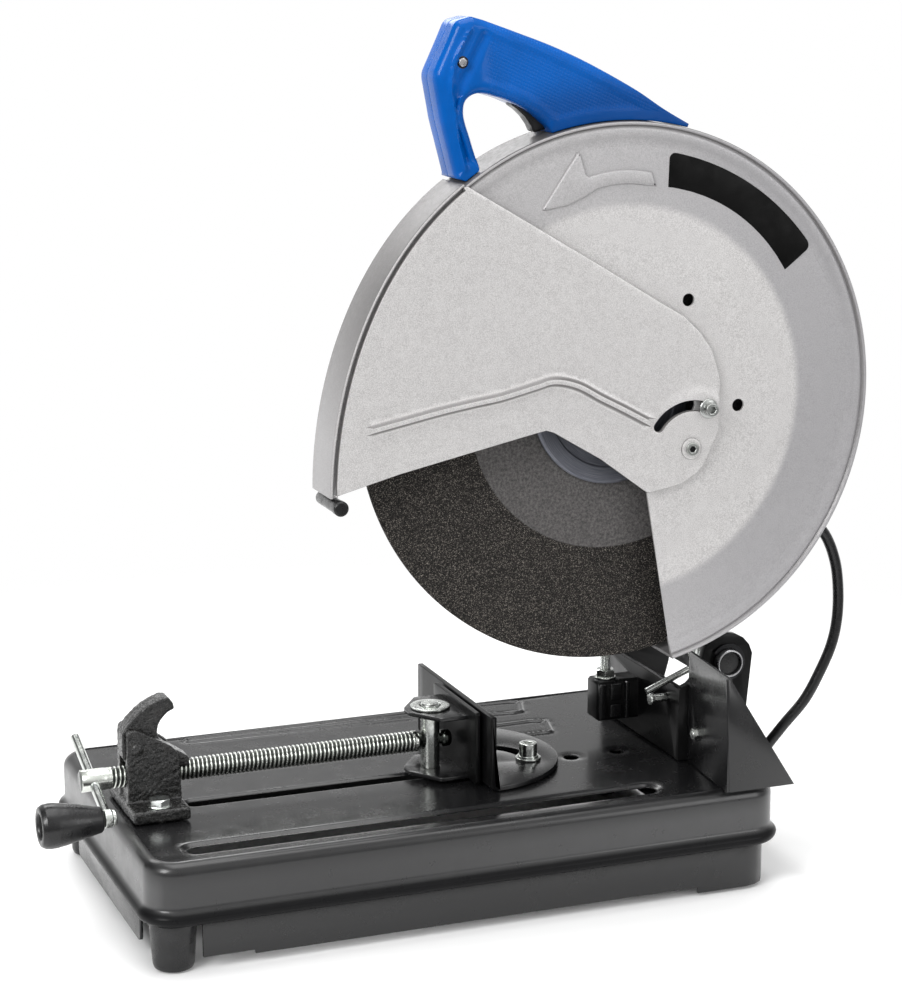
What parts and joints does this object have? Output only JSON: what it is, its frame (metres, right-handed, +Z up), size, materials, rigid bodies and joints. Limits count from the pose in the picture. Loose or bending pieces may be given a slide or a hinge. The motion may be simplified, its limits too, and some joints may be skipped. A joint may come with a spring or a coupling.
{
  "type": "abrasive chop saw",
  "caption": "Bench chop saw: an abrasive cut-off wheel in a pivoting guarded head above a pressed steel base with a screw vise and fence.",
  "frame": {"origin": "middle of the object's bounding box in plan, at ground level under the rubber feet", "axes": "+Z up; +X from the vise crank at the front towards the pivot and power cord at the rear; +Y across the saw, from the wheel side towards the motor side"},
  "size_m": [0.6004, 0.272, 0.602],
  "materials": {
    "abrasive": "coarse bonded grit in resin",
    "black_enamel": "gloss enamel over pressed steel",
    "black_plastic": "moulded plastic, fine grain",
    "black_rubber": "moulded rubber",
    "blue_plastic": "glossy moulded plastic",
    "carbon": "pressed carbon",
    "cast_aluminium": "as cast, fine texture",
    "cast_black": "rough casting, black paint worn at the edges",
    "copper": "turned copper bars",
    "grey_plastic": "moulded plastic",
    "laminations": "varnished laminations",
    "silver_paint": "satin silver-grey paint with a fine speckle",
    "steel": "turned and ground",
    "zinc": "bright zinc plate"
  },
  "bodies": {
    "wheel": {"abrasive_wheel": "abrasive", "drive_gear": "steel", "outer_flange": "zinc", "spindle": "steel", "wheel_bolt": "zinc"},
    "armature": {"armature_core": "laminations", "armature_shaft": "steel", "commutator": "copper", "cooling_fan": "black_plastic"},
    "base": {"base_pan": "black_enamel", "circlip": "steel", "deflector_bolt": "zinc", "depth_stop_nut": "zinc", "fence_lock_bolt": "zinc", "fence_pivot_bolt": "zinc", "fence_plate": "black_enamel", "foot_front_far": "black_rubber", "foot_front_near": "black_rubber", "foot_rear_far": "black_rubber", "foot_rear_near": "black_rubber", "front_skirt": "black_enamel", "pivot_bracket": "black_enamel", "pivot_shaft": "steel", "power_cord": "black_rubber", "rear_skirt": "black_enamel", "spark_deflector": "black_enamel", "torsion_spring": "zinc", "vise_bolt_far": "zinc", "vise_bolt_near": "zinc", "vise_bracket": "cast_black"},
    "head": {"bumper": "black_rubber", "carbon_brush_bottom": "carbon", "carbon_brush_top": "carbon", "cover_lock_bolt": "zinc", "cover_pivot_bolt": "zinc", "front_guard": "silver_paint", "gear_case": "cast_aluminium", "gear_case_cover": "cast_aluminium", "handle_far": "blue_plastic", "handle_near": "blue_plastic", "handle_screw": "zinc", "motor_end_cap": "black_plastic", "motor_housing": "black_plastic", "spindle_bearing_front": "steel", "spindle_bearing_rear": "steel", "stator": "laminations", "strain_relief": "black_rubber", "switch": "grey_plastic", "upper_guard": "silver_paint"},
    "vise_screw": {"crank_bar": "zinc", "vise_screw": "zinc"},
    "crank_knob": {"crank_knob": "black_plastic"},
    "depth_stop": {"depth_stop_bolt": "zinc"},
    "guard_cover": {"guard_cover": "silver_paint"},
    "half_nut": {"half_nut_lever": "cast_black"},
    "vise_jaw": {"jaw_pin": "zinc", "vise_jaw": "black_enamel"},
    "lock_pin": {"lock_pin": "zinc"},
    "lock_button": {"spindle_lock_button": "black_plastic"},
    "trigger": {"trigger": "grey_plastic"}
  },
  "joints": [
    {"name": "chop", "type": "hinge", "parent": "base", "child": "head", "pos_m": [0.1974, 0, 0.1452], "axis": [0, -1, 0], "range_deg": [0, 36.5], "stiffness_Nm_per_rad": 12, "springref_deg": -68.75},
    {"name": "wheel_spin", "type": "hinge", "parent": "head", "child": "wheel", "pos_m": [0.0827, -0.102, 0.351], "axis": [0, 1, 0], "continuous": true},
    {"name": "armature_spin", "type": "hinge", "parent": "head", "child": "armature", "pos_m": [0.12042, -0.05, 0.38068], "axis": [0, 1, 0], "continuous": true},
    {"name": "cover_swing", "type": "hinge", "parent": "head", "child": "guard_cover", "pos_m": [0.1319, -0.1242, 0.3177], "axis": [0, 1, 0], "range_deg": [0, 80]},
    {"name": "trigger_squeeze", "type": "hinge", "parent": "head", "child": "trigger", "pos_m": [0.0417, -0.102, 0.553], "axis": [0, 1, 0], "range_deg": [0, 8], "stiffness_Nm_per_rad": 0.3, "springref_deg": -5.73},
    {"name": "lock_button_press", "type": "slide", "parent": "head", "child": "lock_button", "axis": [0, 0, -1], "range_m": [0, 0.003], "stiffness_N_per_m": 400, "springref_m": -0.002},
    {"name": "vise_slide", "type": "slide", "parent": "base", "child": "vise_jaw", "axis": [-1, 0, 0], "range_m": [0, 0.12]},
    {"name": "screw_turn", "type": "hinge", "parent": "vise_jaw", "child": "vise_screw", "pos_m": [-0.1723, -0.016, 0.099], "axis": [-1, 0, 0], "range_deg": [0, 10800]},
    {"name": "knob_spin", "type": "hinge", "parent": "vise_screw", "child": "crank_knob", "pos_m": [-0.2773, -0.05728, 0.08561], "axis": [1, 0, 0], "continuous": true},
    {"name": "half_nut_lift", "type": "hinge", "parent": "base", "child": "half_nut", "pos_m": [-0.2268, -0.016, 0.121], "axis": [0, -1, 0], "range_deg": [0, 55]},
    {"name": "lock_pin_slide", "type": "slide", "parent": "base", "child": "lock_pin", "axis": [-1, 0, 0], "range_m": [0, 0.008]},
    {"name": "depth_stop_adjust", "type": "slide", "parent": "base", "child": "depth_stop", "axis": [0, 0, 1], "range_m": [-0.01, 0]}
  ],
  "couplings": [
    {"joint": "armature_spin", "follows": "wheel_spin", "ratio": -3.8},
    {"joint": "vise_slide", "follows": "screw_turn", "m_per_rad": 0.00063662}
  ]
}
